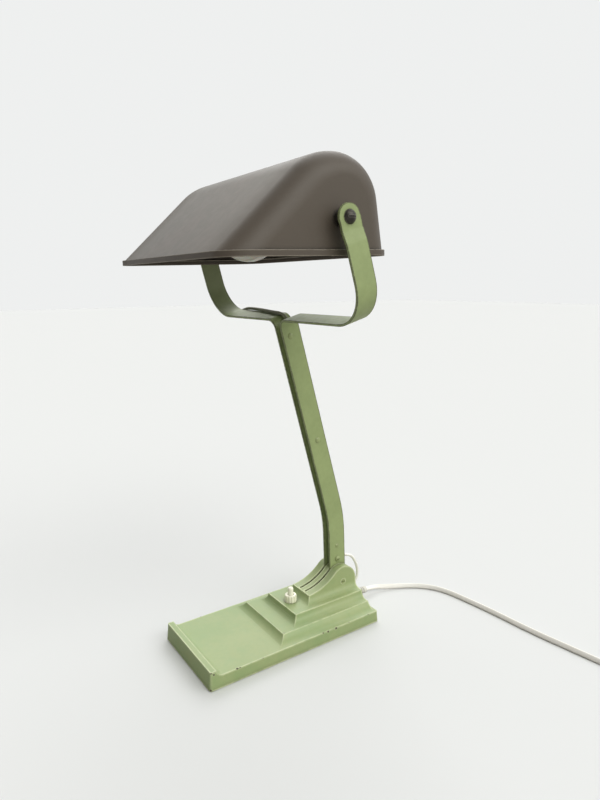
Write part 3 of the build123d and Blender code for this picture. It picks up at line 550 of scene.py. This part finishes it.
def make_bulb():
    neck_x = CAP_START_X + CAP_LENGTH
    globe_steps, neck_steps = 32, 12
    globe = []
    for k in range(globe_steps + 1):
        angle = math.radians(SHOULDER_DEG * (1 - k / globe_steps))
        globe.append((BULB_CENTRE_X + BULB_R * math.cos(angle), BULB_R * math.sin(angle)))
    globe[-1] = (globe[-1][0], AXIS_R)
    shoulder_x, shoulder_r = globe[0]
    neck = []
    for k in range(neck_steps):
        t = k / neck_steps
        ease = t * t * (3 - 2 * t) * 0.72 + t * t * 0.28
        neck.append((neck_x + (shoulder_x - neck_x) * t, NECK_R + (shoulder_r - NECK_R) * ease))
    profile = [(neck_x, AXIS_R)] + neck + globe
    bulb = lathe("bulb_envelope", lamp_profile(profile), in_shade(0, LAMP_Y, LAMP_Z), (1, 0, 0), 96)
    return finish_piece(bulb, "shade", "bulb_opal", "bulb_glass")


def make_bulb_cap():
    low = CAP_START_X
    profile = [(low, AXIS_R), (low, 4.6), (low + 0.6, 5.0), (low + 2.0, 5.2), (low + 2.4, 9.5),
               (low + 4.0, 12.2)]
    for k in range(49):
        profile.append((low + 4.0 + 14.5 * k / 48, 12.5 + 0.45 * math.sin(math.tau * k / 12)))
    profile += [(low + 20, 12.9), (low + 26.6, 12.95), (low + CAP_LENGTH, 12.6),
                (low + CAP_LENGTH, AXIS_R)]
    cap = lathe("bulb_screw_cap", lamp_profile(profile), in_shade(0, LAMP_Y, LAMP_Z), (1, 0, 0), 72)
    return finish_piece(cap, "shade", "cap_metal", "bulb_cap")


def make_holder_skirt():
    """The lampholder's outer skirt, with turned grip rings and a fine knurl, open at its mouth."""
    start = LEG_X + 13
    profile = [(start, 14.6), (start, 17.1), (start + 0.4, 17.4), (start + 2.0, 17.4)]
    for k in range(31):
        profile.append((start + 3.0 + 10.0 * k / 30, 17.2 + 0.22 * math.cos(math.tau * k / 6)))
    profile += [(start + 14.0, 17.0), (start + 22.4, 16.7), (start + 24.4, 16.2), (start + 25.0, 15.4),
                (start + 24.6, 14.7), (start + 1.0, 14.6)]

    def knurl(along, angle):
        inside = (start + 14.5) * MM < along < (start + 22.0) * MM
        return 0.00012 * math.cos(36 * angle) if inside else 0.0

    skirt = lathe("holder_skirt", lamp_profile(profile), in_shade(0, LAMP_Y, LAMP_Z), (1, 0, 0), 144, knurl)
    form = bmesh.new()
    form.from_mesh(skirt.data)
    caps = [face for face in form.faces if len(face.verts) > 4]
    bmesh.ops.delete(form, geom=caps, context="FACES_ONLY")
    ring = [edge for edge in form.edges if edge.is_boundary]
    bmesh.ops.bridge_loops(form, edges=ring)
    bmesh.ops.recalc_face_normals(form, faces=form.faces)
    form.to_mesh(skirt.data)
    form.free()
    return finish_piece(skirt, "shade", "bakelite", "lampholder_skirt")


make_bulb()
make_bulb_cap()
make_holder_skirt()


# ---- mains lead -----------------------------------------------------------------------------
CORD_WIDTH = 0.0054
CORD_THICK = 0.0031
FLEX_LEAN_DEG = 58
COIL_CENTRE = Vector((0.268, 0.262))
COIL_OUTER_R = 0.0365
COIL_PITCH = 0.0056
COIL_TURNS = 4
COIL_LAYERS = 2
COIL_WANDER = 0.0004
COIL_START_DEG = -80
POINTS_PER_TURN = 16
LOBE_DEG = 160              # how much of each core's round outline shows in the twin flex's section
RELIEF_END = (0.0, 0.121, 0.0074)
FLAT_Z = 0.00262

CORD_START = [
    RELIEF_END,
    (-0.0008, 0.134, 0.0060),
    (0.0046, 0.150, 0.0034),
    (0.0156, 0.173, FLAT_Z),
    (0.031, 0.1906, FLAT_Z),
    (0.050, 0.1994, FLAT_Z),
    (0.073, 0.2026, FLAT_Z),
    (0.108, 0.2064, FLAT_Z),
    (0.152, 0.2082, FLAT_Z),
    (0.194, 0.2134, FLAT_Z),
    (0.232, 0.2184, FLAT_Z),
    (0.258, 0.2232, 0.0027),
]
CORD_TAIL = [
    (0.3010, 0.2851, 0.0083),
    (0.2964, 0.3071, 0.0066),
    (0.2884, 0.3291, 0.0046),
    (0.2764, 0.3501, 0.0058),
    (0.2650, 0.3681, 0.0069),
]


def coil_points():
    """The put-away turns: out to in along the floor, then in to out on top of them."""
    points = []
    steps = COIL_TURNS * POINTS_PER_TURN
    for layer in range(COIL_LAYERS):
        for k in range(steps):
            share = k / steps
            inward = share if layer == 0 else 1 - share
            radius = COIL_OUTER_R - inward * (COIL_TURNS - 1) * COIL_PITCH
            angle = math.radians(COIL_START_DEG) + math.tau * k / POINTS_PER_TURN
            z = CORD_WIDTH / 2 + layer * COIL_PITCH
            wander = COIL_WANDER * math.sin(2.3 * angle / math.pi + layer)
            x = COIL_CENTRE.x + (radius + wander) * math.cos(angle)
            y = COIL_CENTRE.y + (radius + wander) * math.sin(angle)
            points.append((x, y, z))
    return points


def make_flex_section():
    """The twin flex's outline: two round cores side by side, joined by a thin web."""
    profile = bpy.data.curves.new("twin_flex_section", "CURVE")
    profile.dimensions = "2D"
    outline = profile.splines.new("POLY")
    lobe = CORD_THICK / 2
    offset = CORD_WIDTH / 2 - lobe
    ring = []
    for side in (1, -1):
        for k in range(9):
            angle = math.radians(LOBE_DEG * (k / 8 - 0.5)) + (0 if side > 0 else math.pi)
            ring.append((side * offset + lobe * math.cos(angle), lobe * math.sin(angle)))
    outline.points.add(len(ring) - 1)
    for i, (x, y) in enumerate(ring):
        outline.points[i].co = (x, y, 0.0, 1.0)
    outline.use_cyclic_u = True
    section = add_object("twin_flex_section", profile)
    section.hide_render = True
    section.hide_viewport = True
    return section


def make_mains_lead():
    coil = coil_points()
    points = CORD_START + coil + CORD_TAIL
    leaning, on_edge = math.radians(FLEX_LEAN_DEG), math.pi / 2
    tilts = [0.0, leaning / 2] + [leaning] * (len(CORD_START) - 3) + [on_edge] * (len(coil) + 2)
    tilts += [on_edge / 2, 0.0, 0.0, 0.0]
    curve = nurbs_curve("mains_lead", points, tilts)
    curve.twist_mode = "Z_UP"
    curve.bevel_mode = "OBJECT"
    curve.bevel_object = make_flex_section()
    curve.use_fill_caps = True
    lead = add_object("mains_lead", curve)
    finish_piece(lead, "base", "white_flex", "mains_cord", "cord_coil", "cord_tail")
    return lead


# ---- strain relief and plug -----------------------------------------------------------------
RELIEF_RIBS = 8
RELIEF_RIB_PITCH = 0.0024
NECK_RIBS = 7
NECK_RIB_PITCH = 2.3
GRIP_GROOVES = 4
GRIP_PITCH = 2.6


def make_strain_relief():
    """The ribbed, tapering sleeve where the mains lead leaves the back of the base."""
    origin = (0.0, 0.0, 0.0074)
    profile = [(0.0875, 0.00005), (0.0875, 0.0044), (0.0889, 0.0044), (0.0891, 0.0039), (0.0972, 0.0039),
               (0.0973, 0.0047), (0.0985, 0.0048)]
    for k in range(RELIEF_RIBS):
        start = 0.0990 + k * RELIEF_RIB_PITCH
        radius = 0.0046 - k * 0.00014
        profile += [(start, radius - 0.0008), (start + 0.0007, radius - 0.0008),
                    (start + 0.0009, radius), (start + 0.0021, radius - 0.00005)]
    profile += [(0.1190, 0.0036), (0.1205, 0.0035), (0.1210, 0.0032), (0.1210, 0.00005)]
    sleeve = lathe("strain_relief_sleeve", profile, origin, (0, 1, 0), 64)
    return finish_piece(sleeve, "base", "white_rubber", "cord_strain_relief")


def make_plug():
    """A slim two-pin plug: a moulded body with finger grooves, and a ribbed neck round the lead.

    Each station is the distance from the neck's end, the half width, the half thickness and how
    square the outline is, from 2 for an ellipse upwards.
    """
    start = Vector(CORD_TAIL[-1])
    heading = start - Vector(CORD_TAIL[-2])
    heading.z = 0.0
    heading.normalize()
    up = Vector((0, 0, 1))
    across = heading.cross(up)
    stations = [(0.0, 2.9, 2.4, 2.0)]
    for k in range(NECK_RIBS):
        at = 1.0 + k * NECK_RIB_PITCH
        wide, thick = 3.4 + 0.28 * k, 3.1 + 0.26 * k
        stations += [(at, wide, thick, 2.0), (at + 1.2, wide, thick, 2.0),
                     (at + 1.4, wide - 0.8, thick - 0.7, 2.0), (at + 2.2, wide - 0.8, thick - 0.7, 2.0)]
    stations += [(18.0, 6.4, 5.2, 2.4), (19.5, 9.6, 6.1, 3.0), (21.5, 12.0, 6.6, 3.4),
                 (24.0, 13.1, 6.75, 3.8)]
    for k in range(GRIP_GROOVES):
        at = 26.0 + k * GRIP_PITCH
        stations += [(at, 13.2, 6.78, 3.8), (at + 0.5, 12.6, 6.5, 3.8), (at + 1.3, 12.6, 6.5, 3.8),
                     (at + 1.8, 13.2, 6.78, 3.8)]
    stations += [(38.0, 13.3, 6.78, 3.8), (41.0, 13.2, 6.7, 3.8), (41.9, 12.6, 6.2, 3.8)]
    steps = 56
    verts = []
    for at, wide, thick, power in stations:
        for k in range(steps):
            angle = math.tau * k / steps
            c, s = math.cos(angle), math.sin(angle)
            x = math.copysign(abs(c) ** (2 / power), c) * wide
            z = math.copysign(abs(s) ** (2 / power), s) * thick
            verts.append(start + (heading * at + across * x + up * z) * MM)
    plug = add_object("plug_shell", ring_mesh("plug_shell", verts, steps))
    return finish_piece(plug, "base", "white_plastic", "plug_body")


make_strain_relief()
make_plug()
make_mains_lead()


# ---- leads along the arm --------------------------------------------------------------------
ARM_LEAN_DEG = 15.5
LEAN = math.radians(ARM_LEAN_DEG)
YOKE_UP = Vector((0, -math.sin(LEAN), math.cos(LEAN)))
YOKE_ACROSS = Vector((0, math.cos(LEAN), math.sin(LEAN)))
YOKE_CENTRE = Vector((0, 0.016, 0.3171))


def on_yoke(x, across, up):
    return YOKE_CENTRE + (Vector((x, 0, 0)) + YOKE_ACROSS * across + YOKE_UP * up) * MM


def nurbs_path(points, resolution=10):
    """The points of a route's NURBS spline, close together."""
    curve = nurbs_curve("route", points)
    curve.splines[0].resolution_u = resolution
    holder = add_object("route", curve)
    bpy.context.view_layer.update()
    mesh = bpy.data.meshes.new_from_object(holder)
    path = [vertex.co.copy() for vertex in mesh.vertices]
    bpy.data.objects.remove(holder)
    bpy.data.curves.remove(curve)
    bpy.data.meshes.remove(mesh)
    return path


LEAD_D = 0.003


def flex_tube(name, path, facing):
    """A round lead's mesh along a path, its rings turned towards the given direction."""
    steps = 20
    verts = []
    facing = Vector(facing)
    for i, point in enumerate(path):
        before, after = path[max(i - 1, 0)], path[min(i + 1, len(path) - 1)]
        along = (after - before).normalized()
        normal = (facing - along * facing.dot(along)).normalized()
        side = along.cross(normal)
        for k in range(steps):
            angle = math.tau * k / steps
            verts.append(point + (side * math.cos(angle) + normal * math.sin(angle)) * (LEAD_D / 2))
    return add_object(name, ring_mesh(name, verts, steps))


FOOT_ROUTE = [
    (0, 0.0952, 0.0184),
    (0, 0.1040, 0.0194),
    (0, 0.1092, 0.0280),
    (0, 0.1086, 0.0390),
    (0, 0.1040, 0.0490),
    (0, 0.0980, 0.0560),
    (0, 0.0914, 0.0576),
]
GAP_START = [(0, 0.0880, 0.0600), (0, 0.0846, 0.0660), (0, 0.0820, 0.0740)]
ARM_ROUTE = [
    (0, 0.0820, 0.0760),
    (0, 0.0812, 0.0980),
    on_yoke(0, 6.2, -195),
    on_yoke(0, 6.5, -150),
    on_yoke(0, 6.2, -105),
    on_yoke(0, 5.6, -60),
    on_yoke(0, 4.6, -28),
    on_yoke(0.4, 3.8, -9.0),
    on_yoke(-3.6, 3.2, 0.6),
    on_yoke(-13.0, 3.0, 2.9),
    on_yoke(-24.0, 4.2, 2.7),
    on_yoke(-40.0, 6.7, 2.8),
    on_yoke(-60.0, 9.4, 2.8),
    on_yoke(-76.0, 10.4, 2.9),
    on_yoke(-90.0, 12.2, 2.0),
    on_yoke(-104.0, 12.8, -1.4),
    on_yoke(-118.0, 12.0, -1.0),
    on_yoke(-131.0, 9.0, 9.0),
    on_yoke(-132.0, 4.5, 25.0),
    on_yoke(-130.2, 3.0, 40.0),
    on_yoke(-128.9, 4.0, 53.0),
]
GROMMET_Y, GROMMET_Z = 14.0, 4.0
SHADE_WALL_X = -111.0


def make_foot_lead():
    path = nurbs_path(FOOT_ROUTE)
    lead = flex_tube("foot_flex", path, (1, 0, 0))
    finish_piece(lead, None, "white_flex", "foot_lead")
    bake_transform(lead)
    return lead


def make_arm_lead():
    lead = flex_tube("arm_flex", nurbs_path(ARM_ROUTE), (0, 1, 0.3))
    finish_piece(lead, "arm", "white_flex", "arm_lead", material="painted_flex")
    gap = flex_tube("arm_flex_foot", nurbs_path([FOOT_ROUTE[-1], *GAP_START, ARM_ROUTE[0]]), (1, 0, 0))
    finish_piece(gap, "arm", "white_flex")
    return lead


def make_shade_loop():
    """The slack end of the lead, from the top of the far branch into the shade's grommet."""
    start = ARM_ROUTE[-1]
    end = in_shade(SHADE_WALL_X, GROMMET_Y, GROMMET_Z)
    route = [start, on_yoke(-128.4, 5.2, 60.0), on_yoke(-127.6, 9.0, 70.0), in_shade(-126.4, 15.5, -3.0),
             in_shade(-121.0, 15.6, 4.0), in_shade(-115.0, 14.2, 4.4), end]
    path = nurbs_path(route)
    loop = flex_tube("shade_flex", path, (0, 1, 0.3))
    finish_piece(loop, None, "white_flex", material="painted_flex")
    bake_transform(loop)
    return loop


make_foot_lead()
make_arm_lead()
make_shade_loop()


# ---- stage ----------------------------------------------------------------------------------
WALL_LIGHT = (0.86, 0.875, 0.865)
RIGHT_LOW_LIGHT = (0.90, 0.89, 0.83)
WINDOW_LIGHT = (1.75, 1.71, 1.60)
RIGHT_WINDOW_LIGHT = (3.40, 3.38, 3.22)
BACKDROP = (0.86, 0.87, 0.865)
FLOOR_PAPER = (0.775, 0.787, 0.797)
FLOOR_BOUNCE = (0.42, 0.41, 0.39)
CEILING_LIGHT = (0.45, 0.45, 0.44)
FRONT_LIGHT = (0.20, 0.195, 0.18)

# Where each part of the room fades in, as the share of the direction that points to it.
RIGHT_WALL_EDGE = (0.2, 0.75)
LEFT_WINDOW_EDGE = (0.3, 0.75)
LEFT_WINDOW_SILL = (0.40, 0.50)
RIGHT_WINDOW_EDGE = (0.2, 0.7)
RIGHT_WINDOW_SILL = (0.35, 0.55)
CEILING_EDGE = (0.62, 0.84)
FRONT_EDGE = (0.0, 0.7)

FLOOR_HALF = 9
SUN_STRENGTH = 0.9
SUN_SPREAD_DEG = 50
SUN_PLACE = (-1.0, 0.9, 1.6)


def make_world():
    """A soft room: pale walls, high windows left and right, a dim ceiling and a dark side in front.

    The lamp is lit by the room. The camera sees a plain pale backdrop in its place.
    """
    world = bpy.data.worlds.new("studio")
    world.use_nodes = True
    tree = world.node_tree
    direction = make_node(tree, "TexCoord").outputs["Generated"]
    axes = make_node(tree, "SeparateXYZ", {0: direction}).outputs
    right, up = axes[0], axes[2]
    left = calculate(tree, "MULTIPLY", right, -1.0)
    front = calculate(tree, "MULTIPLY", axes[1], -1.0)
    room = mix_colours(tree, ramp(tree, right, *RIGHT_WALL_EDGE), rgb(*WALL_LIGHT), rgb(*RIGHT_LOW_LIGHT))
    left_window = calculate(tree, "MULTIPLY", ramp(tree, left, *LEFT_WINDOW_EDGE),
                            ramp(tree, up, *LEFT_WINDOW_SILL))
    right_window = calculate(tree, "MULTIPLY", ramp(tree, right, *RIGHT_WINDOW_EDGE),
                             ramp(tree, up, *RIGHT_WINDOW_SILL))
    room = mix_colours(tree, left_window, room, rgb(*WINDOW_LIGHT))
    room = mix_colours(tree, ramp(tree, up, *CEILING_EDGE), room, rgb(*CEILING_LIGHT))
    room = mix_colours(tree, right_window, room, rgb(*RIGHT_WINDOW_LIGHT))
    room = mix_colours(tree, ramp(tree, front, *FRONT_EDGE), room, rgb(*FRONT_LIGHT))
    seen = make_node(tree, "LightPath").outputs["Is Camera Ray"]
    room = mix_colours(tree, seen, room, rgb(*BACKDROP))
    tree.links.new(room, tree.nodes["Background"].inputs[0])
    return world


def make_floor():
    """Paper that the camera sees pale and that gives back less light than it shows."""
    floor = bpy.data.meshes.new("floor")
    corners = [(x * FLOOR_HALF, y * FLOOR_HALF, 0) for x, y in ((-1, -1), (1, -1), (1, 1), (-1, 1))]
    floor.from_pydata(corners, [], [(0, 1, 2, 3)])
    ground = add_object("floor", floor)
    material = bpy.data.materials.new("floor_paper")
    material.use_nodes = True
    tree = material.node_tree
    shader = tree.nodes["Principled BSDF"]
    seen = make_node(tree, "LightPath").outputs["Is Camera Ray"]
    paper = mix_colours(tree, seen, rgb(*FLOOR_BOUNCE), rgb(*FLOOR_PAPER))
    tree.links.new(paper, shader.inputs["Base Color"])
    shader.inputs["Roughness"].default_value = 1.0
    shader.inputs["Specular IOR Level"].default_value = 0.0
    floor.materials.append(material)


def make_sun():
    sun = bpy.data.objects.new("high_window", bpy.data.lights.new("high_window", "SUN"))
    sun.data.energy = SUN_STRENGTH
    sun.data.angle = math.radians(SUN_SPREAD_DEG)
    sun.location = SUN_PLACE
    sun.rotation_euler = (-sun.location).to_track_quat("-Z", "Y").to_euler()
    bpy.context.scene.collection.objects.link(sun)


make_floor()
make_sun()
bpy.context.scene.world = make_world()
bpy.context.scene.view_settings.view_transform = "Standard"
